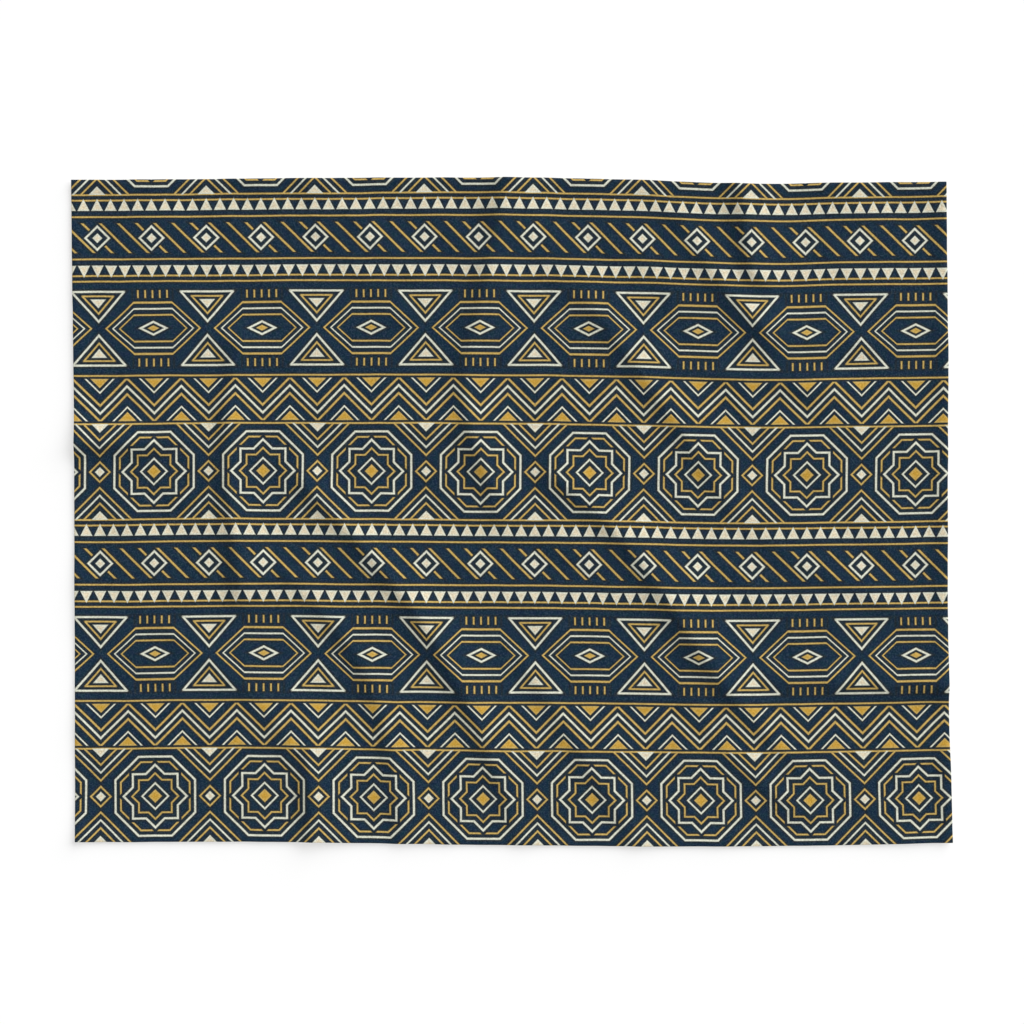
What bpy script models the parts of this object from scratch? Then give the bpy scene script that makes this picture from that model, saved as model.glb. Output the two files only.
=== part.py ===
"""A printed fleece blanket, spread out flat on the floor, as one thin sheet with its folds.

Units are metres and +Z is up. +X runs along the long side and +Y along the short side.
The origin is the middle of the blanket's box, on the floor. Where no fold lifts it, the cloth
lies flat, with its underside at height zero.
"""

from collections import namedtuple
from math import pi

import bpy
import numpy as np

OBJECT_NAME = "fleece_blanket"
NODE_NAME = "blanket"

# The cloth as it lies
LENGTH = 2.032      # long side, along X
WIDTH = 1.545       # short side, along Y
THICKNESS = 0.003

# How far an edge stands out from the plain rectangle at a place along it.
# Places run from the left, or from the bottom, as shares of the side.
EdgePoint = namedtuple("EdgePoint", "share out")
TOP_EDGE = [
    EdgePoint(0.00, 0.000),
    EdgePoint(0.14, 0.002),
    EdgePoint(0.28, 0.0045),
    EdgePoint(0.46, 0.0055),
    EdgePoint(0.58, 0.0035),
    EdgePoint(0.65, 0.000),
    EdgePoint(0.72, -0.0055),
    EdgePoint(0.78, -0.0095),
    EdgePoint(0.85, -0.007),
    EdgePoint(1.00, -0.0045),
]
BOTTOM_EDGE = [
    EdgePoint(0.00, -0.0045),
    EdgePoint(0.27, -0.0045),
    EdgePoint(0.37, -0.001),
    EdgePoint(0.53, 0.003),
    EdgePoint(0.71, 0.0055),
    EdgePoint(0.81, 0.0045),
    EdgePoint(0.89, 0.002),
    EdgePoint(1.00, -0.0035),
]
LEFT_EDGE = [
    EdgePoint(0.00, 0.0005),
    EdgePoint(0.25, 0.001),
    EdgePoint(0.49, 0.0025),
    EdgePoint(0.62, 0.0025),
    EdgePoint(0.75, 0.005),
    EdgePoint(0.87, 0.0075),
    EdgePoint(1.00, 0.0095),
]
RIGHT_EDGE = [
    EdgePoint(0.00, 0.0095),
    EdgePoint(0.08, 0.0065),
    EdgePoint(0.16, 0.002),
    EdgePoint(0.26, -0.0005),
    EdgePoint(0.50, -0.0025),
    EdgePoint(0.75, -0.0015),
    EdgePoint(0.88, -0.0035),
    EdgePoint(1.00, -0.006),
]

# The folds are soft ridges with a narrow crest. A crest runs from its start to its end. It bows
# off the straight line, to the left of that direction, once over its whole length, and sways
# to the left in its first half and to the right in its second. The last columns give
# the height at the start, middle and end, and the width of the flanks against the usual one.
Fold = namedtuple(
    "Fold", "name start_x start_y end_x end_y bow sway start_high middle_high end_high spread")
FOLDS = [
    Fold("top centre", -0.012, 0.790, -0.114, 0.300, 0.007, 0.000, 0.016, 0.015, 0.012, 1.0),
    Fold("centre", -0.112, 0.350, -0.030, -0.005, -0.028, -0.006, 0.009, 0.016, 0.006, 0.9),
    Fold("top right", 0.511, 0.790, 0.561, 0.560, 0.005, 0.000, 0.016, 0.015, 0.004, 0.9),
    Fold("right bend", 0.396, 0.680, 0.580, 0.420, -0.014, 0.002, 0.004, 0.013, 0.011, 0.9),
    Fold("right tail", 0.590, 0.400, 0.985, 0.382, 0.000, 0.000, 0.006, 0.004, 0.001, 0.9),
    Fold("upper slant", 0.160, 0.490, 0.512, 0.010, 0.009, 0.000, 0.007, 0.013, 0.007, 1.0),
    Fold("long slant", 0.100, 0.080, 0.665, -0.565, 0.005, 0.019, 0.008, 0.016, 0.005, 1.1),
    Fold("left upright", -0.650, 0.385, -0.640, -0.175, -0.019, -0.004, 0.009, 0.011, 0.012, 0.8),
    Fold("left edge", -1.040, 0.152, -0.700, 0.154, 0.000, 0.000, 0.014, 0.009, 0.003, 0.9),
    Fold("lower long", -0.485, 0.055, 0.030, -0.790, 0.072, 0.001, 0.010, 0.015, 0.010, 1.0),
    Fold("lower curl", -0.557, -0.110, -0.250, -0.790, 0.092, 0.004, 0.004, 0.012, 0.008, 0.9),
    Fold("lower left", -0.901, -0.201, -0.505, -0.550, 0.026, -0.006, 0.001, 0.007, 0.005, 0.9),
    Fold("lower left drop", -0.475, -0.560, -0.464, -0.790, 0.002, 0.000, 0.009, 0.014, 0.016, 0.8),
    Fold("lower middle", 0.040, -0.365, 0.303, -0.795, 0.003, 0.000, 0.006, 0.010, 0.008, 0.9),
    Fold("lower right", 0.420, -0.455, 0.775, -0.746, -0.026, 0.000, 0.003, 0.009, 0.002, 0.9),
    Fold("right edge", 0.543, -0.389, 1.040, -0.415, 0.002, 0.000, 0.002, 0.010, 0.016, 0.9),
]
STEEP_FLANK = 0.052     # usual width of a fold's steeper side, to the right of its crest
GENTLE_FLANK = 0.125    # usual width of its gentler side
FLANK_CURVE = 1.7       # power by which a flank steepens towards the crest
CREST_ROUNDING = 0.007
CREST_STEPS = 48        # straight steps that stand for a crest's curve
BLEND_POWER = 4.0       # how closely crossing folds keep to the higher one

# The faces of the sheet
CELL = 0.0115           # square of the first, even grid
KEPT_FACES = 0.085      # share of its faces that stays, mostly along the folds
FLAT_BELOW = 0.0004     # cloth lifted less than this lies on the floor

NAVY_WITH_PRINT = (0.101, 0.107, 0.083, 1.0)
FLEECE_ROUGHNESS = 0.95


def clear_scene():
    for scene_object in list(bpy.data.objects):
        bpy.data.objects.remove(scene_object, do_unlink=True)


def edge_offset(edge, share):
    """How far an edge stands out at shares of its side, on a smooth curve through its points."""
    places = np.array([point.share for point in edge])
    offsets = np.array([point.out for point in edge])
    slopes = np.gradient(offsets, places)
    before = np.clip(np.searchsorted(places, share, side="right") - 1, 0, len(edge) - 2)
    gap = places[before + 1] - places[before]
    t = (share - places[before]) / gap
    start_weight = (1 + 2 * t) * (1 - t) ** 2
    end_weight = t * t * (3 - 2 * t)
    start_turn = t * (1 - t) ** 2 * gap
    end_turn = -t * t * (1 - t) * gap
    return (start_weight * offsets[before] + end_weight * offsets[before + 1]
            + start_turn * slopes[before] + end_turn * slopes[before + 1])


def cloth_places(across, up):
    """Places on the floor for shares of the two sides, stretched to the wavy outline."""
    x = (across - 0.5) * LENGTH
    x += across * edge_offset(RIGHT_EDGE, up) - (1 - across) * edge_offset(LEFT_EDGE, up)
    y = (up - 0.5) * WIDTH
    y += up * edge_offset(TOP_EDGE, across) - (1 - up) * edge_offset(BOTTOM_EDGE, across)
    return x, y


def smooth_step(t):
    t = np.clip(t, 0.0, 1.0)
    return t * t * (3 - 2 * t)


def crest_line(fold):
    """Points along a fold's crest, and the crest's height at each."""
    t = np.linspace(0.0, 1.0, CREST_STEPS + 1)
    run_x = fold.end_x - fold.start_x
    run_y = fold.end_y - fold.start_y
    length = np.hypot(run_x, run_y)
    aside = fold.bow * np.sin(pi * t) + fold.sway * np.sin(2 * pi * t)
    x = fold.start_x + run_x * t - run_y / length * aside
    y = fold.start_y + run_y * t + run_x / length * aside
    rise = (fold.middle_high - fold.start_high) * smooth_step(2 * t)
    fall = (fold.end_high - fold.middle_high) * smooth_step(2 * t - 1)
    return x, y, fold.start_high + rise + fall


def fold_height(fold, x, y):
    """Height of one fold over places on the floor."""
    crest_x, crest_y, crest_high = crest_line(fold)
    nearest = np.full(x.shape, np.inf)
    aside = np.zeros(x.shape)
    high = np.zeros(x.shape)
    for i in range(CREST_STEPS):
        step_x = crest_x[i + 1] - crest_x[i]
        step_y = crest_y[i + 1] - crest_y[i]
        step = np.hypot(step_x, step_y)
        off_x = x - crest_x[i]
        off_y = y - crest_y[i]
        t = np.clip((off_x * step_x + off_y * step_y) / step**2, 0.0, 1.0)
        distance = np.hypot(off_x - t * step_x, off_y - t * step_y)
        closer = distance < nearest
        nearest = np.where(closer, distance, nearest)
        aside = np.where(closer, (step_x * off_y - step_y * off_x) / step, aside)
        here = crest_high[i] + t * (crest_high[i + 1] - crest_high[i])
        high = np.where(closer, here, high)
    # From 0 square off the steep side to 1 square off the gentle side, and between them
    # round the ends.
    gentleness = np.clip(0.5 + 0.5 * aside / np.maximum(nearest, 1e-9), 0.0, 1.0)
    flank = (STEEP_FLANK + (GENTLE_FLANK - STEEP_FLANK) * gentleness) * fold.spread
    rounded = np.sqrt(nearest**2 + CREST_ROUNDING**2) - CREST_ROUNDING
    return high * np.clip(1 - rounded / flank, 0.0, 1.0) ** FLANK_CURVE


def cloth_height(x, y):
    """Height of the cloth's underside: the folds, melted together where they meet."""
    total = np.zeros(x.shape)
    for fold in FOLDS:
        total += fold_height(fold, x, y) ** BLEND_POWER
    return total ** (1 / BLEND_POWER)


def flat_grid():
    """An even grid of faces that covers shares 0 to 1 of both sides."""
    columns = round(LENGTH / CELL)
    rows = round(WIDTH / CELL)
    bpy.ops.mesh.primitive_grid_add(
        x_subdivisions=columns, y_subdivisions=rows, size=1.0, location=(0, 0, 0))
    grid = bpy.context.active_object
    grid.name = NODE_NAME
    grid.data.name = NODE_NAME
    return grid


def shape_folds(blanket):
    """Move the grid's points to the outline and lift them into the folds."""
    vertices = blanket.data.vertices
    points = np.empty(len(vertices) * 3, dtype=np.float32)
    vertices.foreach_get("co", points)
    points = points.reshape(-1, 3).astype(float)
    x, y = cloth_places(points[:, 0] + 0.5, points[:, 1] + 0.5)
    z = cloth_height(x, y)
    z[z < FLAT_BELOW] = 0.0
    vertices.foreach_set("co", np.column_stack((x, y, z)).ravel())
    blanket.data.update()


def keep_needed_faces(blanket):
    """Large faces where the cloth is flat, small ones along the folds."""
    thinner = blanket.modifiers.new("fewer faces", "DECIMATE")
    thinner.ratio = KEPT_FACES
    depsgraph = bpy.context.evaluated_depsgraph_get()
    thinned = bpy.data.meshes.new_from_object(blanket.evaluated_get(depsgraph))
    blanket.modifiers.clear()
    first_grid = blanket.data
    blanket.data = thinned
    bpy.data.meshes.remove(first_grid)
    thinned.name = NODE_NAME
    for vertex in thinned.vertices:
        if vertex.co.z < FLAT_BELOW:
            vertex.co.z = 0.0


def give_thickness(blanket):
    """Thicken the sheet upwards from its underside."""
    solid = blanket.modifiers.new("fleece thickness", "SOLIDIFY")
    solid.thickness = THICKNESS
    solid.offset = 1.0
    solid.use_rim = True


def fleece_material():
    material = bpy.data.materials.new("printed_fleece")
    material.use_nodes = True
    shader = material.node_tree.nodes["Principled BSDF"]
    shader.inputs["Base Color"].default_value = NAVY_WITH_PRINT
    shader.inputs["Roughness"].default_value = FLEECE_ROUGHNESS
    shader.inputs["Metallic"].default_value = 0.0
    return material


def main():
    clear_scene()
    collection = bpy.data.collections.new(OBJECT_NAME)
    bpy.context.scene.collection.children.link(collection)
    blanket = flat_grid()
    for old_collection in list(blanket.users_collection):
        old_collection.objects.unlink(blanket)
    collection.objects.link(blanket)
    shape_folds(blanket)
    keep_needed_faces(blanket)
    give_thickness(blanket)
    blanket.data.materials.append(fleece_material())
    for face in blanket.data.polygons:
        face.use_smooth = True


main()
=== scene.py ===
"""Looks of the fleece blanket: its folds and creases, brushed pile, print, plain back and cut edge.

Units are metres and +Z is up. The blanket lies spread out on the floor, printed face up,
with its long side along X. The cloth is one thin sheet that follows the folds of its solid.
"""
from collections import namedtuple
from math import pi, radians

import bpy
import numpy as np
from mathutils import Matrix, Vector, noise


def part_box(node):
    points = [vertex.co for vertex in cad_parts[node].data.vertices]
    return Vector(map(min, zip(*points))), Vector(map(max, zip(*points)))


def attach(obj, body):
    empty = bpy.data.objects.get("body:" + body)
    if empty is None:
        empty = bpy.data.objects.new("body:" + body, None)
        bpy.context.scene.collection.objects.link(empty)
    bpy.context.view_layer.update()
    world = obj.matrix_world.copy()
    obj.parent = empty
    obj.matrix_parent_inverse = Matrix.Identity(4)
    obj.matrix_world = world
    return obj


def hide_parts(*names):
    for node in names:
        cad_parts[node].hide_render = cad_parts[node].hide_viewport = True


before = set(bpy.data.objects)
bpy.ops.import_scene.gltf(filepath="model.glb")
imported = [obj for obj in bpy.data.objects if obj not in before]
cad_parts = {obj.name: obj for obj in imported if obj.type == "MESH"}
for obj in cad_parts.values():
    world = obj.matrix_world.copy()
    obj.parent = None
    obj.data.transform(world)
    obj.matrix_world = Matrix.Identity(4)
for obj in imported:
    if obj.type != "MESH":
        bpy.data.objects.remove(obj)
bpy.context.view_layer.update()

SOLID = "blanket"
SOLID_LOW, SOLID_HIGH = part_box(SOLID)

# The cloth as it lies
EDGE_REACH_ALONG = 0.0095     # how far the wavy outline stands out past the plain rectangle, each end
EDGE_REACH_UP = 0.0055        # the same at the long sides
LENGTH = SOLID_HIGH[0] - SOLID_LOW[0] - 2 * EDGE_REACH_ALONG
WIDTH = SOLID_HIGH[1] - SOLID_LOW[1] - 2 * EDGE_REACH_UP
THICKNESS = 0.003
CUT_LENGTH = 2.04             # the flat cloth, with what its folds take up
CUT_WIDTH = 1.55

# How far an edge stands out from the plain rectangle at a place along it.
# Places run from the left, or from the bottom, as shares of the side.
EdgePoint = namedtuple("EdgePoint", "share out")
TOP_EDGE = [
    EdgePoint(0.00, 0.000),
    EdgePoint(0.14, 0.002),
    EdgePoint(0.28, 0.0045),
    EdgePoint(0.46, 0.0055),
    EdgePoint(0.58, 0.0035),
    EdgePoint(0.65, 0.000),
    EdgePoint(0.72, -0.0055),
    EdgePoint(0.78, -0.0095),
    EdgePoint(0.85, -0.007),
    EdgePoint(1.00, -0.0045),
]
BOTTOM_EDGE = [
    EdgePoint(0.00, -0.0045),
    EdgePoint(0.27, -0.0045),
    EdgePoint(0.37, -0.001),
    EdgePoint(0.53, 0.003),
    EdgePoint(0.71, 0.0055),
    EdgePoint(0.81, 0.0045),
    EdgePoint(0.89, 0.002),
    EdgePoint(1.00, -0.0035),
]
LEFT_EDGE = [
    EdgePoint(0.00, 0.0005),
    EdgePoint(0.25, 0.001),
    EdgePoint(0.49, 0.0025),
    EdgePoint(0.62, 0.0025),
    EdgePoint(0.75, 0.005),
    EdgePoint(0.87, 0.0075),
    EdgePoint(1.00, 0.0095),
]
RIGHT_EDGE = [
    EdgePoint(0.00, 0.0095),
    EdgePoint(0.08, 0.0065),
    EdgePoint(0.16, 0.002),
    EdgePoint(0.26, -0.0005),
    EdgePoint(0.50, -0.0025),
    EdgePoint(0.75, -0.0015),
    EdgePoint(0.88, -0.0035),
    EdgePoint(1.00, -0.006),
]

# Folds and creases are soft ridges with a narrow crest. A crest runs from its start to its end.
# It bows off the straight line, to the left of that direction, once over its whole length, and
# sways to the left in its first half and to the right in its second. The last columns give
# the height at the start, middle and end, and the width of the flanks against the usual one.
# The flanks are narrower where a crest is lower than at its middle, and wider where it is higher.
Fold = namedtuple(
    "Fold", "name start_x start_y end_x end_y bow sway start_high middle_high end_high spread")
FOLDS = [
    Fold("top centre", -0.012, 0.790, -0.116, 0.300, 0.007, 0.000, 0.0205, 0.0140, 0.011, 1.05),
    Fold("centre", -0.112, 0.350, -0.030, -0.005, -0.017, -0.004, 0.007, 0.0190, 0.009, 1.05),
    Fold("top right", 0.519, 0.790, 0.556, 0.555, 0.005, 0.000, 0.015, 0.0195, 0.015, 1.1),
    Fold("right bend", 0.394, 0.680, 0.584, 0.429, -0.012, 0.002, 0.004, 0.0105, 0.015, 1.0),
    Fold("right tail", 0.600, 0.404, 0.985, 0.382, 0.000, 0.000, 0.006, 0.004, 0.001, 0.9),
    Fold("upper slant", 0.172, 0.499, 0.509, 0.008, 0.009, 0.000, 0.007, 0.0130, 0.007, 1.0),
    Fold("long slant", 0.100, 0.080, 0.653, -0.576, 0.012, 0.019, 0.012, 0.0180, 0.006, 1.1),
    Fold("left upright", -0.640, 0.385, -0.632, -0.175, -0.025, -0.004, 0.008, 0.0125, 0.015, 0.85),
    Fold("left edge", -1.040, 0.158, -0.760, 0.158, 0.000, 0.000, 0.017, 0.0125, 0.002, 0.8),
    Fold("lower long", -0.478, 0.059, 0.028, -0.791, 0.072, 0.001, 0.010, 0.0168, 0.005, 1.0),
    Fold("lower curl", -0.561, -0.112, -0.254, -0.792, 0.092, 0.004, 0.004, 0.012, 0.005, 0.9),
    Fold("lower left", -0.901, -0.201, -0.505, -0.550, 0.026, -0.006, 0.001, 0.006, 0.008, 0.9),
    Fold("lower left drop", -0.475, -0.560, -0.464, -0.790, 0.002, 0.000, 0.013, 0.016, 0.017, 0.95),
    Fold("lower middle", 0.040, -0.365, 0.303, -0.795, 0.003, 0.000, 0.005, 0.0085, 0.007, 0.9),
    Fold("lower right", 0.420, -0.455, 0.775, -0.746, -0.035, 0.000, 0.004, 0.0065, 0.0015, 0.9),
    Fold("right edge", 0.543, -0.391, 1.040, -0.409, 0.002, 0.000, 0.004, 0.010, 0.008, 0.9),
]
CREASES = [
    Fold("top left nick", -0.490, 0.780, -0.430, 0.580, 0.004, 0.000, 0.0040, 0.0035, 0.000, 0.6),
    Fold("top left tuck", -0.665, 0.775, -0.650, 0.700, 0.000, 0.000, 0.0020, 0.0015, 0.000, 0.5),
    Fold("left hollow", -0.790, 0.440, -0.360, 0.420, -0.055, 0.010, 0.0015, 0.0033, 0.002, 0.7),
    Fold("left hollow rise", -0.370, 0.410, -0.215, 0.455, 0.010, 0.000, 0.0020, 0.0040, 0.001, 0.7),
    Fold("left slant", -0.880, 0.690, -0.780, 0.540, 0.005, 0.000, 0.0005, 0.0020, 0.000, 0.7),
    Fold("upper left slant", -0.430, 0.740, -0.250, 0.550, 0.006, 0.000, 0.0005, 0.0025, 0.000, 0.8),
    Fold("by the centre", -0.290, 0.192, -0.135, 0.185, 0.000, 0.000, 0.0005, 0.0030, 0.003, 0.6),
    Fold("top slant", 0.110, 0.715, 0.385, 0.500, 0.008, 0.000, 0.0005, 0.0025, 0.000, 0.8),
    Fold("beside the bend", 0.330, 0.550, 0.410, 0.430, 0.004, 0.000, 0.0005, 0.0018, 0.000, 0.6),
    Fold("above the bend", 0.290, 0.765, 0.405, 0.660, 0.000, 0.000, 0.0010, 0.0020, 0.002, 0.6),
    Fold("top right tail", 0.570, 0.560, 0.625, 0.500, -0.004, 0.000, 0.0060, 0.0040, 0.000, 0.6),
    Fold("right band", 0.322, 0.345, 0.880, 0.285, -0.016, 0.006, 0.0020, 0.0058, 0.001, 0.7),
    Fold("right slant", 0.650, 0.690, 0.850, 0.440, 0.008, 0.000, 0.0003, 0.0018, 0.000, 0.8),
    Fold("right shoulder", 0.850, 0.255, 0.960, 0.090, 0.006, 0.000, 0.0010, 0.0030, 0.000, 0.8),
    Fold("right drift", 0.550, -0.045, 0.990, -0.330, 0.022, -0.010, 0.0015, 0.0045, 0.001, 0.8),
    Fold("right edge tuck", 0.900, -0.400, 1.050, -0.404, 0.000, 0.000, 0.0000, 0.0080, 0.009, 0.8),
    Fold("right nick", 0.790, -0.085, 1.035, -0.112, 0.003, 0.000, 0.0005, 0.0028, 0.004, 0.7),
    Fold("middle band", -0.250, -0.106, 0.010, -0.130, 0.004, 0.000, 0.0005, 0.0030, 0.001, 0.7),
    Fold("middle slant", 0.080, -0.085, 0.180, -0.125, 0.006, 0.000, 0.0010, 0.0030, 0.000, 0.7),
    Fold("between the curls", -0.400, -0.020, -0.160, -0.420, 0.050, 0.000, 0.0003, 0.0015, 0.000, 0.8),
    Fold("lower left slant", -0.860, -0.115, -0.700, -0.300, 0.004, 0.000, 0.0004, 0.0024, 0.000, 0.7),
    Fold("foot of the slant", 0.600, -0.560, 0.760, -0.690, 0.004, 0.000, 0.0004, 0.0024, 0.000, 0.7),
    Fold("low right corner", 0.860, -0.560, 0.990, -0.720, 0.004, 0.000, 0.0002, 0.0018, 0.000, 0.8),
]
STEEP_FLANK = 0.052     # usual width of a fold's steeper side, to the right of its crest
GENTLE_FLANK = 0.125    # usual width of its gentler side
FLANK_CURVE = 1.7       # power by which a flank steepens towards the crest
CREST_ROUNDING = 0.006
CREST_STEPS = 48        # straight steps that stand for a crest's curve
BLEND_POWER = 4.0       # how closely crossing folds keep to the higher one

# Cloth that is nowhere quite flat
DRIFT_HIGH = 0.0031     # soft unevenness between the folds
DRIFT_ALONG = 0.30      # its length along the slant that the folds share
DRIFT_ACROSS = 0.07     # its width
DRIFT_SLANT = radians(-48)
DRIFT_LEVEL = 0.5       # how deep the noise goes before the cloth lies on the floor
DRIFT_LAYER = 3.7       # slice of the noise that it follows
LEFT_LIFT = 0.0038      # how far each edge lifts off the floor
RIGHT_LIFT = 0.0055
TOP_LIFT = 0.0030
BOTTOM_LIFT = 0.0040
LIFT_START = 0.046      # distance from the edge at which the cloth begins to lift
LIFT_END = 0.006        # distance at which it lies level again
CUT_WANDER = 0.0007     # how far the scissors strayed along an edge
CUT_STEP = 0.055        # over what length
LEFT_CUT = 23.0         # slices of the noise that the four cuts follow
RIGHT_CUT = 11.0
TOP_CUT = 37.0
BOTTOM_CUT = 51.0
COLUMNS = 248
ROWS = 188
EDGE_BEVEL = 0.0011     # rounding of the cut edge

# The flat map of the skin
MAP_MARGIN = 0.004      # bare border of the map, as a share of it
BACK_STRIP = 0.15       # share of the map that the plain back takes
OUTLINE_BAND = 0.006    # how far inside the wavy outline a place still counts as near it
FACE_SLACK = 0.00005    # a vertex this little below the face is part of it
FACING_DOWN = -0.7      # faces whose normal points lower than this are the back

# The print: rows of plain geometric motifs. A cell is one motif wide.
CELL = 0.254
DYE_BLEED = 0.0018      # soft edge of a printed shape
DYE_CREEP = 0.0145      # how widely the dye of a line mingles with the ground along the fibres
PRINT_START = (0.071, 0.020)
FINE_LINE = 0.0036
LINE = 0.0045
DIAGONAL = 0.7071       # turns a sum of two sides into a distance
WANDER = 0.006          # how far the print strays from true
WANDER_SIZE = 0.35      # over what length
FIBRE_BLUR = 0.0009     # how far the fibres carry an edge aside
FIBRE_BLUR_SIZE = 0.0035
DYE_MOTTLE = 0.12       # unevenness of the dyes
DYE_MOTTLE_SIZE = 0.006
NAVY_PATCH = 0.012      # size of the patches in which the navy is greener
SOLID_CREEP = 0.875     # creep at which a dye has its full colour
FINE_CREEP = 0.5625     # creep at which it has the colour of a fine line
STAIN = 1.4             # how strongly a line stains the ground beside it

# Half widths of the shapes in the row of stars
STAR = 0.0520
INNER_STAR = 0.0380
STAR_DIAMOND = 0.0215
STAR_HEART = 0.0110
STAR_CLEAR = 0.0610     # the star's points break the inner ring this far out
RING = 0.0925
INNER_RING = 0.0800
SIDE_LOZENGE = 0.0080   # between two rings
SIDE_OUTLINE = 0.0165
CORNER_LOZENGE = 0.0140     # where four cells meet
CORNER_FIRST_LINE = 0.0270
CORNER_SECOND_LINE = 0.0400
CORNER_THIRD_LINE = 0.0530

# Sizes in the row of zigzags
ZIGZAG_BARE = 0.0070    # bare ground along the borders
ZIGZAG_APART = 0.0130   # from one line to the next
BAY_INSET = 0.012       # from the border to the root of a bay's core
BAY_OUTLINE = 0.0275
BAY_CORE = 0.0160

# Sizes in the row of hexagons
HEXAGON = 0.0600
MIDDLE_HEXAGON = 0.0455
INNER_HEXAGON = 0.0310
HEXAGON_SLOPE = 0.925   # of the pointed ends
HEXAGON_SHOULDER = 0.0416   # the higher, the longer the straight sides
HEART_OUTLINE = 0.0135  # the lozenge in the middle
HEART_CORE = 0.0060
HEART_SLOPE = 0.5
HEART_SCALE = 0.9       # turns its sum of two sides into a distance
GLASS_INSET = 0.024     # from the border to the ends of an hourglass
GLASS_SLOPE = 1.15
GLASS_WAIST = 0.016
GLASS_SCALE = 0.65      # turns its sum of two sides into a distance
GLASS_LINING = 0.0120   # how far inside the hourglass the lines and the core lie
GLASS_LINING_END = 0.0105
GLASS_CORE = 0.0205
GLASS_CORE_END = 0.0180
COMB_STEP = 0.0085      # half the gap between two tines
COMB_REACH = 0.0450
COMB_ROOT = 0.0710
COMB_OVERLAP = 0.0028   # how far the tines pass the hourglass ends

# Sizes in the rows of teeth
TOOTH = CELL / 16       # half a tooth
TOOTH_GAP = 0.0012      # bare ground beside a tooth
TOOTH_SLOPE = 0.5
TOOTH_FOOT = 0.013      # height over the border at which a tooth would be widest
TOOTH_START = 0.0150    # height at which it starts
TOOTH_RULE = 0.0130     # from the rule to the other border

# Sizes in the row of slanting bars
BAR_STEP = CELL / 12    # half the gap between two bars
CHAIN_STEP = CELL / 4   # half the gap between two lozenges
CHAIN_CLEAR = 0.0265    # the bars stop this far from the middle of a lozenge
CHAIN_OUTLINE = 0.0195
CHAIN_CORE = 0.0080
BAR_INSET = 0.0150      # from the border to the ends of the bars

# Colours, as the surface reflects them
NAVY = (0.0032, 0.0168, 0.0458)
NAVY_GREENER = (0.0020, 0.0223, 0.0403)
GOLD = (0.5230, 0.3050, 0.0395)
CREAM = (0.6880, 0.5960, 0.4220)
FINE_GOLD = (0.5350, 0.3700, 0.1100)     # fine lines take less dye
FINE_CREAM = (0.6600, 0.6820, 0.5760)
STAINED_NAVY = (0.0150, 0.0115, 0.0010)  # the ground right beside a line
FIBRE_TIP = (0.4000, 0.4600, 0.5000)
PALE_CORE = (0.6800, 0.6650, 0.6150)
FLOOR_WHITE = (0.5200, 0.5200, 0.5200)
FLOOR_GLOW = 0.466      # light of its own, as of a lit white screen, so that shadows stay pale

# The brushed pile
LOCK = 0.0030           # width of one lock of fibres
CLUMP = 0.0110          # width of a patch brushed one way
CLUMP_HIGH = 1.6        # its height against that of a lock
CLUMP_ROUGHNESS = 0.16  # what it adds to the roughness
PILE_ROUGHNESS = 0.84
LOCK_SHADE = 1.35       # how much lighter and darker the locks are
CLUMP_SHADE = 0.08
TIP_START = 0.46        # height of a lock from which its pale tips show
TIP_SHARE = 0.26        # how strongly they show
BUMP_STRENGTH = 0.55
SHEEN_ROUGHNESS = 0.45
SHEEN_TINT = (0.92, 0.93, 0.95)
PILE_SPECULAR = 0.12
BACK_PATCH = 0.09       # size of the back's slightly darker patches
BACK_PATCH_SHADE = 0.95
DYED_DEPTH = 9 / 26     # share of the thickness that the face's dye goes through
BARE_DEPTH = 19 / 26    # share of it at which the pale core is bare

# View and light
VIEW_WIDTH = 2.3840     # what the picture's width takes in, at the floor
LENS = 120.0
SENSOR = 36.0
SUN_HEIGHT = radians(27)
SUN_SIDE = radians(45)  # from the right edge towards the top edge
SUN_STRENGTH = 3.95
SUN_SOFTNESS = radians(60)
SKY_STRENGTH = 0.47
SKY_SEEN = 1.0          # its strength past the floor's far side, where the camera sees it
FLOOR_SIZE = 16.0
FLOOR_GAP = 0.0004      # how far the floor lies below the solid
FLOOR_ROUGHNESS = 0.9

# Layout of the nodes in the shader editor
NODES_IN_COLUMN = 14
COLUMN_STEP = 200
NODE_STEP = 170


# Shape of the cloth

def edge_offset(edge, share):
    """How far an edge stands out at shares of its side, on a smooth curve through its points."""
    places = np.array([point.share for point in edge])
    offsets = np.array([point.out for point in edge])
    slopes = np.gradient(offsets, places)
    before = np.clip(np.searchsorted(places, share, side="right") - 1, 0, len(edge) - 2)
    gap = places[before + 1] - places[before]
    t = (share - places[before]) / gap
    start_weight = (1 + 2 * t) * (1 - t) ** 2
    end_weight = t * t * (3 - 2 * t)
    start_turn = t * (1 - t) ** 2 * gap
    end_turn = -t * t * (1 - t) * gap
    return (start_weight * offsets[before] + end_weight * offsets[before + 1]
            + start_turn * slopes[before] + end_turn * slopes[before + 1])


def cut_wander(share, side_length, layer):
    """Small straying of the cut along one side."""
    return np.array([
        CUT_WANDER * noise.noise(Vector((value * side_length / CUT_STEP, layer, 0.5)))
        for value in share.ravel()
    ]).reshape(share.shape)


def cloth_places(across, up):
    """Places on the floor for shares of the two sides, stretched to the wavy outline."""
    x = (across - 0.5) * LENGTH
    x += across * edge_offset(RIGHT_EDGE, up) - (1 - across) * edge_offset(LEFT_EDGE, up)
    y = (up - 0.5) * WIDTH
    y += up * edge_offset(TOP_EDGE, across) - (1 - up) * edge_offset(BOTTOM_EDGE, across)
    return x, y


def smooth_step(t):
    """From 0 to 1 without a corner at either end."""
    t = np.clip(t, 0.0, 1.0)
    return t * t * (3 - 2 * t)


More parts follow.
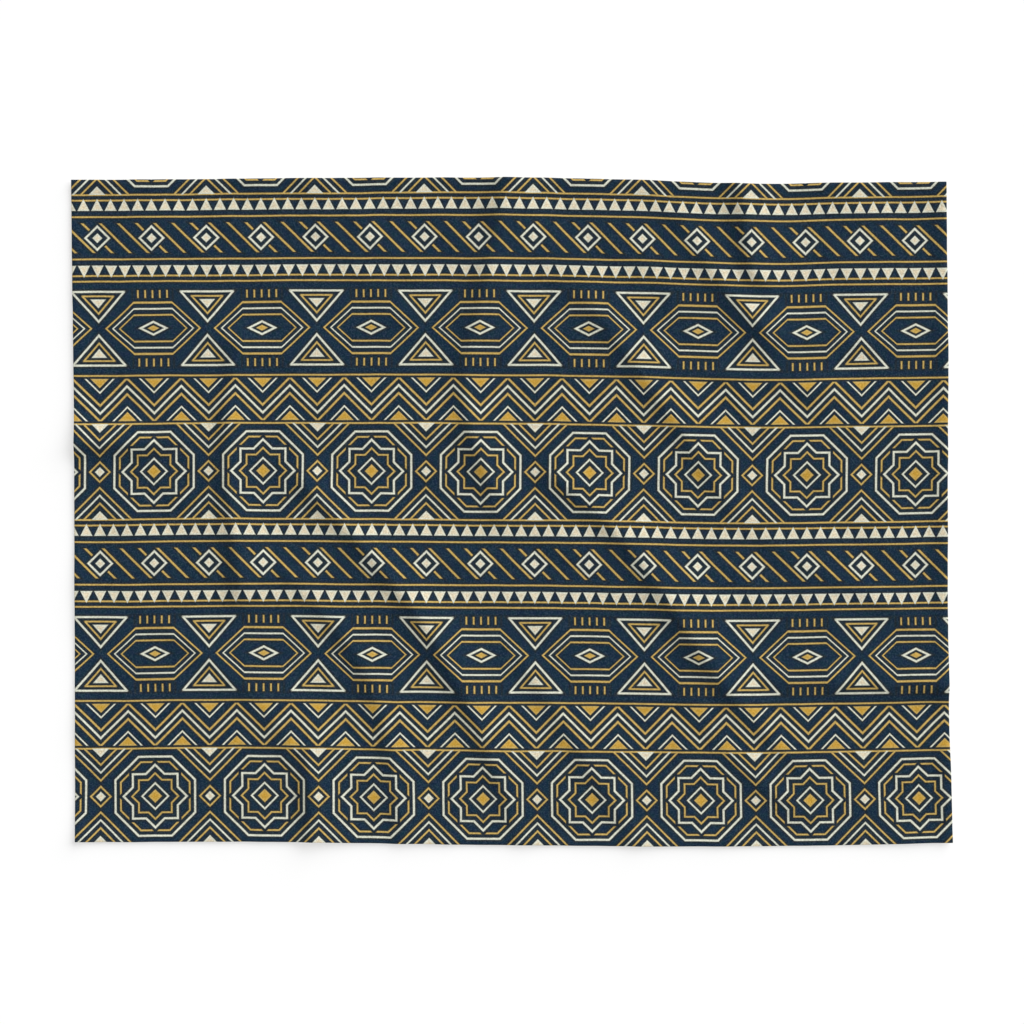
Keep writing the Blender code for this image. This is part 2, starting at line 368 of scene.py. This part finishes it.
def crest_line(fold):
    """Points along a fold's crest, and the crest's height at each."""
    t = np.linspace(0.0, 1.0, CREST_STEPS + 1)
    run_x = fold.end_x - fold.start_x
    run_y = fold.end_y - fold.start_y
    length = np.hypot(run_x, run_y)
    aside = fold.bow * np.sin(pi * t) + fold.sway * np.sin(2 * pi * t)
    x = fold.start_x + run_x * t - run_y / length * aside
    y = fold.start_y + run_y * t + run_x / length * aside
    rise = (fold.middle_high - fold.start_high) * smooth_step(2 * t)
    fall = (fold.end_high - fold.middle_high) * smooth_step(2 * t - 1)
    return x, y, fold.start_high + rise + fall


def fold_height(fold, x, y):
    """Height of one fold over places on the floor."""
    crest_x, crest_y, crest_high = crest_line(fold)
    nearest = np.full(x.shape, np.inf)
    aside = np.zeros(x.shape)
    high = np.zeros(x.shape)
    for i in range(CREST_STEPS):
        step_x = crest_x[i + 1] - crest_x[i]
        step_y = crest_y[i + 1] - crest_y[i]
        step = np.hypot(step_x, step_y)
        off_x = x - crest_x[i]
        off_y = y - crest_y[i]
        t = np.clip((off_x * step_x + off_y * step_y) / step**2, 0.0, 1.0)
        distance = np.hypot(off_x - t * step_x, off_y - t * step_y)
        closer = distance < nearest
        nearest = np.where(closer, distance, nearest)
        aside = np.where(closer, (step_x * off_y - step_y * off_x) / step, aside)
        here = crest_high[i] + t * (crest_high[i + 1] - crest_high[i])
        high = np.where(closer, here, high)
    # From 0 square off the steep side to 1 square off the gentle side, and between them
    # round the ends.
    gentleness = np.clip(0.5 + 0.5 * aside / np.maximum(nearest, 1e-9), 0.0, 1.0)
    flank = (STEEP_FLANK + (GENTLE_FLANK - STEEP_FLANK) * gentleness) * fold.spread
    flank *= 0.5 + 0.5 * high / fold.middle_high
    rounded = np.sqrt(nearest**2 + CREST_ROUNDING**2) - CREST_ROUNDING
    return high * np.clip(1 - rounded / flank, 0.0, 1.0) ** FLANK_CURVE


def melted(folds, x, y):
    """Height of a group of folds, melted together where they meet."""
    total = np.zeros(x.shape)
    for fold in folds:
        total += fold_height(fold, x, y) ** BLEND_POWER
    return total ** (1 / BLEND_POWER)


def drift_height(x, y):
    """Soft unevenness, drawn out along the slant of the folds. It never goes below the floor."""
    turn, lean = np.cos(DRIFT_SLANT), np.sin(DRIFT_SLANT)
    along = (x * turn + y * lean) / DRIFT_ALONG
    across = (y * turn - x * lean) / DRIFT_ACROSS
    wave = np.array([noise.noise(Vector((a, b, DRIFT_LAYER))) for a, b in zip(along, across)])
    return DRIFT_HIGH * np.clip(wave + DRIFT_LEVEL, 0.0, None)


def edge_lift(x, y):
    """How far the cloth rises towards its edges."""
    across = np.clip(x / LENGTH + 0.5, 0.0, 1.0)
    up = np.clip(y / WIDTH + 0.5, 0.0, 1.0)
    lift = np.zeros(x.shape)
    for most, distance in (
            (LEFT_LIFT, LENGTH / 2 + x + edge_offset(LEFT_EDGE, up)),
            (RIGHT_LIFT, LENGTH / 2 - x + edge_offset(RIGHT_EDGE, up)),
            (BOTTOM_LIFT, WIDTH / 2 + y + edge_offset(BOTTOM_EDGE, across)),
            (TOP_LIFT, WIDTH / 2 - y + edge_offset(TOP_EDGE, across))):
        lift += most * smooth_step((LIFT_START - distance) / (LIFT_START - LIFT_END))
    return lift


def cloth_height(x, y):
    """Height of the cloth's underside over the floor."""
    folded = melted(FOLDS, x, y) + melted(CREASES, x, y)
    return folded + drift_height(x, y) + edge_lift(x, y)


# The sheet

def add_vectors(mesh, name, values):
    """A UV map that gives each corner of a face the value of its vertex."""
    corner_vertex = np.empty(len(mesh.loops), dtype=np.int32)
    mesh.loops.foreach_get("vertex_index", corner_vertex)
    layer = mesh.uv_layers.new(name=name)
    layer.data.foreach_set("uv", values[corner_vertex].astype(np.float32).ravel())


def vertex_places(mesh):
    """Where a mesh's vertices lie, one row for each."""
    places = np.empty(len(mesh.vertices) * 3, dtype=np.float32)
    mesh.vertices.foreach_get("co", places)
    return places.reshape(-1, 3).astype(float)


def printed_sheet():
    """The upper side of the cloth, with the place on the flat cloth kept for the print."""
    bpy.ops.mesh.primitive_grid_add(x_subdivisions=COLUMNS, y_subdivisions=ROWS, size=1.0)
    sheet = bpy.context.active_object
    sheet.name = "fleece_blanket"
    mesh = sheet.data
    mesh.name = "fleece_blanket"
    for old_map in list(mesh.uv_layers):
        mesh.uv_layers.remove(old_map)
    shares = vertex_places(mesh)[:, :2] + 0.5
    across, up = shares[:, 0], shares[:, 1]
    x, y = cloth_places(across, up)
    x += across * cut_wander(up, WIDTH, RIGHT_CUT)
    x -= (1 - across) * cut_wander(up, WIDTH, LEFT_CUT)
    y += up * cut_wander(across, LENGTH, TOP_CUT)
    y -= (1 - up) * cut_wander(across, LENGTH, BOTTOM_CUT)
    z = cloth_height(x, y) + THICKNESS
    mesh.vertices.foreach_set("co", np.column_stack((x, y, z)).ravel())
    flat_place = np.column_stack(((across - 0.5) * CUT_LENGTH, (up - 0.5) * CUT_WIDTH))
    add_vectors(mesh, "flat_cloth", flat_place)
    mesh.update()
    return sheet


def thicken(sheet):
    """Give the sheet its back and its rounded cut edge."""
    solid = sheet.modifiers.new("pile and back", "SOLIDIFY")
    solid.thickness = THICKNESS
    solid.offset = -1.0
    solid.material_offset = 1
    solid.material_offset_rim = 2
    bevel = sheet.modifiers.new("cut edge", "BEVEL")
    bevel.width = EDGE_BEVEL
    bevel.segments = 2
    bevel.limit_method = "ANGLE"
    bevel.angle_limit = radians(60)
    depsgraph = bpy.context.evaluated_depsgraph_get()
    full = bpy.data.meshes.new_from_object(sheet.evaluated_get(depsgraph))
    sheet.modifiers.clear()
    thin = sheet.data
    sheet.data = full
    bpy.data.meshes.remove(thin)
    full.name = "fleece_blanket"
    full.shade_smooth()


def outward(places):
    """For places near the outline, the direction off the cloth, and no direction elsewhere."""
    way = np.zeros((len(places), 2))
    for axis, reach in enumerate((EDGE_REACH_ALONG, EDGE_REACH_UP)):
        slack = 2 * reach + OUTLINE_BAND
        way[:, axis] += (places[:, axis] > SOLID_HIGH[axis] - slack).astype(float)
        way[:, axis] -= (places[:, axis] < SOLID_LOW[axis] + slack).astype(float)
    return way


def lay_out_flat(sheet):
    """A map of the whole skin: the printed face and edge large, the plain back in a strip."""
    mesh = sheet.data
    places = vertex_places(mesh)
    top = cloth_height(places[:, 0], places[:, 1]) + THICKNESS
    depth = np.clip(top - places[:, 2], 0.0, THICKNESS)
    depth[depth < FACE_SLACK] = 0.0
    unrolled = places[:, :2] + outward(places) * depth[:, None]
    low = unrolled.min(axis=0)
    span = unrolled.max(axis=0) - low
    share = (unrolled - low) / span
    side = MAP_MARGIN + share[:, 0] * (1 - 2 * MAP_MARGIN)
    face_start = BACK_STRIP + MAP_MARGIN
    face_map = np.column_stack((
        side, face_start + share[:, 1] * (1 - BACK_STRIP - 2 * MAP_MARGIN)))
    back_map = np.column_stack((
        side, MAP_MARGIN + share[:, 1] * (BACK_STRIP - 2 * MAP_MARGIN)))
    normals = np.empty(len(mesh.polygons) * 3, dtype=np.float32)
    mesh.polygons.foreach_get("normal", normals)
    sizes = np.empty(len(mesh.polygons), dtype=np.int32)
    mesh.polygons.foreach_get("loop_total", sizes)
    is_back = np.repeat(normals.reshape(-1, 3)[:, 2] < FACING_DOWN, sizes)
    corner_vertex = np.empty(len(mesh.loops), dtype=np.int32)
    mesh.loops.foreach_get("vertex_index", corner_vertex)
    values = np.where(is_back[:, None], back_map[corner_vertex], face_map[corner_vertex])
    layer = mesh.uv_layers.new(name="OFBake")
    layer.data.foreach_set("uv", values.astype(np.float32).ravel())
    edge_depth = mesh.attributes.new("edge_depth", "FLOAT", "POINT")
    edge_depth.data.foreach_set("value", (depth / THICKNESS).astype(np.float32))


# Node helpers

class Reading:
    """A number that changes over the cloth, as the output of a node."""

    soft_edge = DYE_BLEED   # width of the soft edge in the masks made next

    def __init__(self, socket):
        self.socket = socket

    def then(self, operation, *others, clamp=False):
        node = new_node(self.socket.id_data, "ShaderNodeMath")
        node.operation = operation
        node.use_clamp = clamp
        for entry, value in zip(node.inputs, (self, *others)):
            if isinstance(value, Reading):
                self.socket.id_data.links.new(value.socket, entry)
            else:
                entry.default_value = value
        return Reading(node.outputs[0])

    def __add__(self, other):
        return self.then("ADD", other)

    def __sub__(self, other):
        return self.then("SUBTRACT", other)

    def __mul__(self, other):
        return self.then("MULTIPLY", other)

    def __abs__(self):
        return self.then("ABSOLUTE")

    def least(self, other):
        return self.then("MINIMUM", other)

    def most(self, other):
        return self.then("MAXIMUM", other)

    def mirrored(self, span):
        """Distance from the nearest of places two spans apart."""
        return self.then("PINGPONG", span)

    def repeated(self, span):
        return self.then("FLOORED_MODULO", span)

    def within(self, level):
        """A mask that is 1 below a level and 0 above it, with a soft edge."""
        edge = Reading.soft_edge
        return self.then("MULTIPLY_ADD", -1 / edge, level / edge + 0.5, clamp=True)

    def beyond(self, level):
        """A mask that is 0 below a level and 1 above it, with a soft edge."""
        edge = Reading.soft_edge
        return self.then("MULTIPLY_ADD", 1 / edge, 0.5 - level / edge, clamp=True)

    def line(self, level, width=LINE):
        """A printed line where the number passes a level."""
        return abs(self - level).within(width / 2)

    def ramp(self, start, end):
        """From 0 where the number is at the start to 1 where it is at the end, and no further."""
        span = end - start
        return self.then("MULTIPLY_ADD", 1 / span, -start / span, clamp=True)


def new_node(tree, kind):
    """A node, set out in columns in the order of making."""
    node = tree.nodes.new(kind)
    column, place = divmod(len(tree.nodes), NODES_IN_COLUMN)
    node.location = (column * COLUMN_STEP, -place * NODE_STEP)
    return node


def new_group(name, inputs, outputs):
    """A node group with named sockets: (name, kind, value) in, and (name, kind) out."""
    tree = bpy.data.node_groups.new(name, "ShaderNodeTree")
    for socket_name, kind, value in inputs:
        socket = tree.interface.new_socket(name=socket_name, in_out="INPUT", socket_type=kind)
        if value is not None:
            socket.default_value = value
    for socket_name, kind in outputs:
        tree.interface.new_socket(name=socket_name, in_out="OUTPUT", socket_type=kind)
    return tree, new_node(tree, "NodeGroupInput"), new_node(tree, "NodeGroupOutput")


def place_group(tree, group):
    """A node that puts a group into a tree."""
    node = new_node(tree, "ShaderNodeGroup")
    node.node_tree = group
    return node


def noise_texture(tree, place, size, detail=2.0, roughness=0.5):
    """A node with soft noise around 0.5, its features of about the given size."""
    node = new_node(tree, "ShaderNodeTexNoise")
    node.inputs["Scale"].default_value = 1 / size
    node.inputs["Detail"].default_value = detail
    node.inputs["Roughness"].default_value = roughness
    tree.links.new(place, node.inputs["Vector"])
    return node


def mix_colours(tree, factor, first, second):
    """The first colour where the factor is 0 and the second where it is 1."""
    node = new_node(tree, "ShaderNodeMix")
    node.data_type = "RGBA"
    tree.links.new(factor, node.inputs["Factor"])
    for entry, value in ((node.inputs["A"], first), (node.inputs["B"], second)):
        if isinstance(value, tuple):
            entry.default_value = (*value, 1.0)
        else:
            tree.links.new(value, entry)
    return node.outputs["Result"]


# The print

def star_row(x, y, half):
    """Eight-pointed stars in eight-sided rings, with lozenges between the rings."""
    slant = (x + y) * DIAGONAL
    octagon = x.most(y).most(slant)
    star = x.most(y).least(slant)
    aside = (x * -1 + y + CELL / 2) * DIAGONAL
    corner = (x * -1 - y + (CELL / 2 + half)) * DIAGONAL
    cream = star.line(STAR).most(slant.line(STAR_DIAMOND, FINE_LINE))
    cream = cream.most(aside.within(SIDE_LOZENGE)).most(corner.within(CORNER_LOZENGE))
    cream = cream.most(corner.line(CORNER_SECOND_LINE, FINE_LINE)).most(octagon.line(RING))
    gold = octagon.line(INNER_RING, FINE_LINE).least(star.beyond(STAR_CLEAR))
    gold = gold.most(star.line(INNER_STAR, FINE_LINE)).most(slant.within(STAR_HEART))
    gold = gold.most(aside.line(SIDE_OUTLINE, FINE_LINE))
    gold = gold.most(corner.line(CORNER_FIRST_LINE, FINE_LINE))
    gold = gold.most(corner.line(CORNER_THIRD_LINE, FINE_LINE))
    return gold, cream


def zigzag_row(along, rise, half):
    """Three zigzag lines. Each bay holds an outline with a solid core."""
    swing = CELL / 4
    tooth = along.mirrored(swing)
    zigzag = (rise - tooth + swing / 2) * DIAGONAL
    inside = abs(rise).within(half - ZIGZAG_BARE)
    cream = zigzag.line(0.0).least(inside)
    gold = abs(zigzag).line(ZIGZAG_APART).least(inside)
    root = half - BAY_INSET
    upper_bay = (rise * -1 + root) + tooth
    lower_bay = (rise + root) - tooth + swing
    bay = upper_bay.least(lower_bay)
    cream = cream.most(bay.line(BAY_OUTLINE).least(inside))
    gold = gold.most(bay.within(BAY_CORE).least(inside))
    return gold, cream


def hexagon_row(x, y, half):
    """Long hexagons, one in another, with combs, and an hourglass where two of them meet."""
    hexagon = y.most(x * HEXAGON_SLOPE + y - HEXAGON_SHOULDER)
    gold = hexagon.line(HEXAGON).most(hexagon.line(INNER_HEXAGON, FINE_LINE))
    heart = (x * HEART_SLOPE + y) * HEART_SCALE
    cream = hexagon.line(MIDDLE_HEXAGON, FINE_LINE).most(heart.line(HEART_OUTLINE))
    gold = gold.most(heart.within(HEART_CORE))
    aside = x * -1 + CELL / 2
    base = half - GLASS_INSET
    lining_base = base - GLASS_LINING_END
    glass = (aside * GLASS_SLOPE - y + GLASS_WAIST) * GLASS_SCALE
    cream = cream.most(glass.line(0.0).least(y.within(base)))
    cream = cream.most(y.line(base).least(glass.within(0.0)))
    gold = gold.most(glass.line(-GLASS_LINING, FINE_LINE).least(y.within(lining_base)))
    gold = gold.most(y.line(lining_base, FINE_LINE).least(glass.within(-GLASS_LINING)))
    cream = cream.most(glass.within(-GLASS_CORE).least(y.within(base - GLASS_CORE_END)))
    comb = x.mirrored(COMB_STEP).line(0.0, FINE_LINE).least(x.within(COMB_REACH))
    comb = comb.least(y.beyond(COMB_ROOT)).least(y.within(base + COMB_OVERLAP))
    return gold.most(comb), cream


def tooth_row(along, rise, half):
    """Solid triangles side by side, with a fine rule near their points."""
    tooth = along.mirrored(TOOTH)
    solid = (rise + half - TOOTH_FOOT) * TOOTH_SLOPE + tooth
    gold = solid.within(TOOTH - TOOTH_GAP).least(rise.beyond(-half + TOOTH_START))
    cream = rise.line(half - TOOTH_RULE, FINE_LINE)
    return gold, cream


def broken_row(along, rise, half):
    """Slanting bars, parted by a row of lozenges."""
    bars = (along + rise).mirrored(BAR_STEP) * DIAGONAL
    lozenge = (along.mirrored(CHAIN_STEP) + abs(rise)) * DIAGONAL
    clear = lozenge.beyond(CHAIN_CLEAR).least(abs(rise).within(half - BAR_INSET))
    gold = bars.line(0.0).least(clear)
    cream = lozenge.line(CHAIN_OUTLINE).most(lozenge.within(CHAIN_CORE))
    return gold, cream


# Rows of the print, from the bottom of a repeat. A mirrored row reads the distance from the
# middle of its cell and from its own middle line. The last column swaps gold and cream.
PrintRow = namedtuple("PrintRow", "motif height mirrored upside_down swapped")
PRINT_ROWS = [
    PrintRow(star_row, 0.224, True, False, False),
    PrintRow(zigzag_row, 0.112, False, False, False),
    PrintRow(hexagon_row, 0.220, True, False, False),
    PrintRow(tooth_row, 0.052, False, True, True),
    PrintRow(broken_row, 0.100, False, False, False),
    PrintRow(tooth_row, 0.052, False, False, True),
]


def print_chart_group(name, soft_edge):
    """Where gold and cream dye lie, for a place on the flat cloth, and how softly they end."""
    Reading.soft_edge = soft_edge
    tree, entry, result = new_group(
        name,
        [("Place", "NodeSocketVector", None)],
        [("Gold", "NodeSocketFloat"), ("Cream", "NodeSocketFloat")])
    split = new_node(tree, "ShaderNodeSeparateXYZ")
    tree.links.new(entry.outputs["Place"], split.inputs["Vector"])
    along = Reading(split.outputs["X"]) + PRINT_START[0]
    repeat = sum(row.height for row in PRINT_ROWS)
    height = (Reading(split.outputs["Y"]) + PRINT_START[1]).repeated(repeat)
    across = along.mirrored(CELL / 2)
    gold = cream = None
    floor = 0.0
    for row in PRINT_ROWS:
        half = row.height / 2
        rise = height - (floor + half)
        if row.upside_down:
            rise = rise * -1
        away = abs(rise)
        if row.mirrored:
            dyes = row.motif(across, away, half)
        else:
            dyes = row.motif(along, rise, half)
        row_gold, row_cream = reversed(dyes) if row.swapped else dyes
        row_gold = row_gold.least(away.within(half)).most(away.line(half, FINE_LINE))
        row_cream = row_cream.least(away.within(half))
        gold = row_gold if gold is None else gold.most(row_gold)
        cream = row_cream if cream is None else cream.most(row_cream)
        floor += row.height
    tree.links.new(gold.socket, result.inputs["Gold"])
    tree.links.new(cream.socket, result.inputs["Cream"])
    return tree


def dye_colour(tree, creep, full, fine):
    """A dye's colour: full inside a solid shape, and paler in a fine line."""
    fineness = Reading(creep).ramp(SOLID_CREEP, FINE_CREEP)
    return mix_colours(tree, fineness.socket, full, fine)


def printed_colour_group(chart, creep_chart):
    """The dyed colours of the face: navy ground, gold and cream lines, blurred by the pile."""
    tree, entry, result = new_group(
        "printed_colour",
        [("Fibre Blur", "NodeSocketFloat", FIBRE_BLUR), ("Wander", "NodeSocketFloat", WANDER),
         ("Dye Mottle", "NodeSocketFloat", DYE_MOTTLE)],
        [("Colour", "NodeSocketColor")])
    place = new_node(tree, "ShaderNodeUVMap")
    place.uv_map = "flat_cloth"
    moved = place.outputs["UV"]
    for size, amount in ((WANDER_SIZE, "Wander"), (FIBRE_BLUR_SIZE, "Fibre Blur")):
        stray = noise_texture(tree, place.outputs["UV"], size)
        centred = new_node(tree, "ShaderNodeVectorMath")
        centred.operation = "SUBTRACT"
        centred.inputs[1].default_value = (0.5, 0.5, 0.5)
        tree.links.new(stray.outputs["Color"], centred.inputs[0])
        shift = new_node(tree, "ShaderNodeVectorMath")
        shift.operation = "SCALE"
        tree.links.new(centred.outputs["Vector"], shift.inputs[0])
        tree.links.new(entry.outputs[amount], shift.inputs["Scale"])
        added = new_node(tree, "ShaderNodeVectorMath")
        tree.links.new(moved, added.inputs[0])
        tree.links.new(shift.outputs["Vector"], added.inputs[1])
        moved = added.outputs["Vector"]
    masks = place_group(tree, chart)
    creep = place_group(tree, creep_chart)
    tree.links.new(moved, masks.inputs["Place"])
    tree.links.new(moved, creep.inputs["Place"])
    patch = noise_texture(tree, place.outputs["UV"], NAVY_PATCH)
    uneven = Reading(patch.outputs["Fac"]).ramp(1 / 3, 2 / 3)
    navy = mix_colours(tree, uneven.socket, NAVY, NAVY_GREENER)
    beside = Reading(creep.outputs["Gold"]).most(Reading(creep.outputs["Cream"]))
    beside = beside.then("MULTIPLY", STAIN, clamp=True)
    ground = mix_colours(tree, beside.socket, navy, STAINED_NAVY)
    gold = dye_colour(tree, creep.outputs["Gold"], GOLD, FINE_GOLD)
    cream = dye_colour(tree, creep.outputs["Cream"], CREAM, FINE_CREAM)
    with_gold = mix_colours(tree, masks.outputs["Gold"], ground, gold)
    with_cream = mix_colours(tree, masks.outputs["Cream"], with_gold, cream)
    mottle = noise_texture(tree, place.outputs["UV"], DYE_MOTTLE_SIZE, detail=4.0, roughness=0.65)
    strength = (Reading(mottle.outputs["Fac"]) - 0.5) * Reading(entry.outputs["Dye Mottle"]) + 1.0
    shaded = new_node(tree, "ShaderNodeVectorMath")
    shaded.operation = "SCALE"
    tree.links.new(with_cream, shaded.inputs[0])
    tree.links.new(strength.socket, shaded.inputs["Scale"])
    tree.links.new(shaded.outputs["Vector"], result.inputs["Colour"])
    return tree


def pile_group():
    """The brushed pile: its height, how it scatters light, its lighter locks and pale tips."""
    tree, entry, result = new_group(
        "brushed_pile",
        [("Place", "NodeSocketVector", None)],
        [("Height", "NodeSocketFloat"), ("Roughness", "NodeSocketFloat"),
         ("Shade", "NodeSocketFloat"), ("Tips", "NodeSocketFloat")])
    place = entry.outputs["Place"]
    locks = Reading(noise_texture(tree, place, LOCK, detail=3.0, roughness=0.6).outputs["Fac"])
    clumps = Reading(noise_texture(tree, place, CLUMP).outputs["Fac"])
    height = locks + clumps * CLUMP_HIGH
    rough = clumps * CLUMP_ROUGHNESS + PILE_ROUGHNESS
    shade = (locks - 0.5) * LOCK_SHADE + (clumps - 0.5) * CLUMP_SHADE + 1.0
    tips = (locks - TIP_START).then("MULTIPLY", TIP_SHARE, clamp=True)
    tree.links.new(height.socket, result.inputs["Height"])
    tree.links.new(rough.socket, result.inputs["Roughness"])
    tree.links.new(shade.socket, result.inputs["Shade"])
    tree.links.new(tips.socket, result.inputs["Tips"])
    return tree


def fleece_material(name, pile, sheen, bump_depth):
    """A fleece finish without its colour: pile, bump and soft sheen.

    Returns the material, its tree, its shader and the node of the pile.
    """
    material = bpy.data.materials.new(name)
    material.use_nodes = True
    tree = material.node_tree
    shader = tree.nodes["Principled BSDF"]
    shader.inputs["Sheen Weight"].default_value = sheen
    shader.inputs["Sheen Roughness"].default_value = SHEEN_ROUGHNESS
    shader.inputs["Sheen Tint"].default_value = (*SHEEN_TINT, 1.0)
    shader.inputs["Specular IOR Level"].default_value = PILE_SPECULAR
    place = new_node(tree, "ShaderNodeTexCoord")
    nap = place_group(tree, pile)
    tree.links.new(place.outputs["Object"], nap.inputs["Place"])
    bump = new_node(tree, "ShaderNodeBump")
    bump.inputs["Strength"].default_value = BUMP_STRENGTH
    bump.inputs["Distance"].default_value = bump_depth
    tree.links.new(nap.outputs["Height"], bump.inputs["Height"])
    tree.links.new(bump.outputs["Normal"], shader.inputs["Normal"])
    tree.links.new(nap.outputs["Roughness"], shader.inputs["Roughness"])
    return material, tree, shader, nap


def shade_and_join(tree, colour, nap, shader):
    """The pile's light and dark locks and pale fibre tips over a colour, into the shader."""
    shaded = new_node(tree, "ShaderNodeVectorMath")
    shaded.operation = "SCALE"
    tree.links.new(colour, shaded.inputs[0])
    tree.links.new(nap.outputs["Shade"], shaded.inputs["Scale"])
    tipped = mix_colours(tree, nap.outputs["Tips"], shaded.outputs["Vector"], FIBRE_TIP)
    tree.links.new(tipped, shader.inputs["Base Color"])


def printed_face(pile, printed):
    """The dyed face of the fleece."""
    material, tree, shader, nap = fleece_material(
        "printed_face", pile, sheen=0.12, bump_depth=0.0012)
    colour = place_group(tree, printed)
    shade_and_join(tree, colour.outputs["Colour"], nap, shader)
    return material


def plain_back(pile):
    """The undyed back, a little darker in broad patches."""
    material, tree, shader, nap = fleece_material(
        "plain_back", pile, sheen=0.20, bump_depth=0.0014)
    patch = noise_texture(tree, tree.nodes["Texture Coordinate"].outputs["Object"], BACK_PATCH)
    darker = tuple(channel * BACK_PATCH_SHADE for channel in PALE_CORE)
    colour = mix_colours(tree, patch.outputs["Fac"], PALE_CORE, darker)
    shade_and_join(tree, colour, nap, shader)
    return material


def cut_edge(pile, printed):
    """The cut edge: the face's dye reaches a third of the way in, over the pale core."""
    material, tree, shader, nap = fleece_material(
        "cut_edge", pile, sheen=0.20, bump_depth=0.0010)
    colour = place_group(tree, printed)
    depth = new_node(tree, "ShaderNodeAttribute")
    depth.attribute_name = "edge_depth"
    undyed = Reading(depth.outputs["Fac"]).ramp(DYED_DEPTH, BARE_DEPTH)
    blended = mix_colours(tree, undyed.socket, colour.outputs["Colour"], PALE_CORE)
    shade_and_join(tree, blended, nap, shader)
    return material


def make_blanket():
    """The whole blanket: its sheet, its three finishes and its place on the part."""
    sheet = printed_sheet()
    pile = pile_group()
    printed = printed_colour_group(
        print_chart_group("print_chart", DYE_BLEED), print_chart_group("dye_creep", DYE_CREEP))
    for material in (printed_face(pile, printed), plain_back(pile), cut_edge(pile, printed)):
        sheet.data.materials.append(material)
    thicken(sheet)
    lay_out_flat(sheet)
    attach(sheet, "root")
    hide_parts(SOLID)
    return sheet


# Floor, light and view

def make_floor():
    """A wide white floor that glows a little."""
    bpy.ops.mesh.primitive_plane_add(size=FLOOR_SIZE, location=(0, 0, -FLOOR_GAP))
    floor = bpy.context.active_object
    floor.name = "studio_floor"
    material = bpy.data.materials.new("studio_floor")
    material.use_nodes = True
    shader = material.node_tree.nodes["Principled BSDF"]
    shader.inputs["Base Color"].default_value = (*FLOOR_WHITE, 1.0)
    shader.inputs["Roughness"].default_value = FLOOR_ROUGHNESS
    shader.inputs["Specular IOR Level"].default_value = 0.0
    shader.inputs["Emission Color"].default_value = (1.0, 1.0, 1.0, 1.0)
    shader.inputs["Emission Strength"].default_value = FLOOR_GLOW
    floor.data.materials.append(material)


def make_sun():
    """A broad soft key light from the upper right."""
    light = bpy.data.lights.new("key_light", "SUN")
    light.energy = SUN_STRENGTH
    light.angle = SUN_SOFTNESS
    sun = bpy.data.objects.new("key_light", light)
    bpy.context.scene.collection.objects.link(sun)
    level = np.cos(SUN_HEIGHT)
    way = Vector((level * np.cos(SUN_SIDE), level * np.sin(SUN_SIDE), np.sin(SUN_HEIGHT)))
    sun.rotation_euler = way.to_track_quat("Z", "Y").to_euler()


def make_sky():
    """Even light from all round. What the camera sees past the floor is white."""
    world = bpy.data.worlds.new("studio")
    bpy.context.scene.world = world
    world.use_nodes = True
    tree = world.node_tree
    background = tree.nodes["Background"]
    path = new_node(tree, "ShaderNodeLightPath")
    seen = Reading(path.outputs["Is Camera Ray"])
    strength = seen * (SKY_SEEN - SKY_STRENGTH) + SKY_STRENGTH
    background.inputs["Color"].default_value = (1.0, 1.0, 1.0, 1.0)
    tree.links.new(strength.socket, background.inputs["Strength"])


def make_camera():
    """Straight above, with a long lens."""
    camera = bpy.data.cameras.new("camera")
    camera.lens = LENS
    camera.sensor_width = SENSOR
    camera.clip_end = 100.0
    above = bpy.data.objects.new("camera", camera)
    above.location = (0, 0, LENS / SENSOR * VIEW_WIDTH)
    bpy.context.scene.collection.objects.link(above)
    bpy.context.scene.camera = above
    bpy.context.scene.view_settings.view_transform = "Standard"


make_camera()
make_blanket()
make_floor()
make_sun()
make_sky()
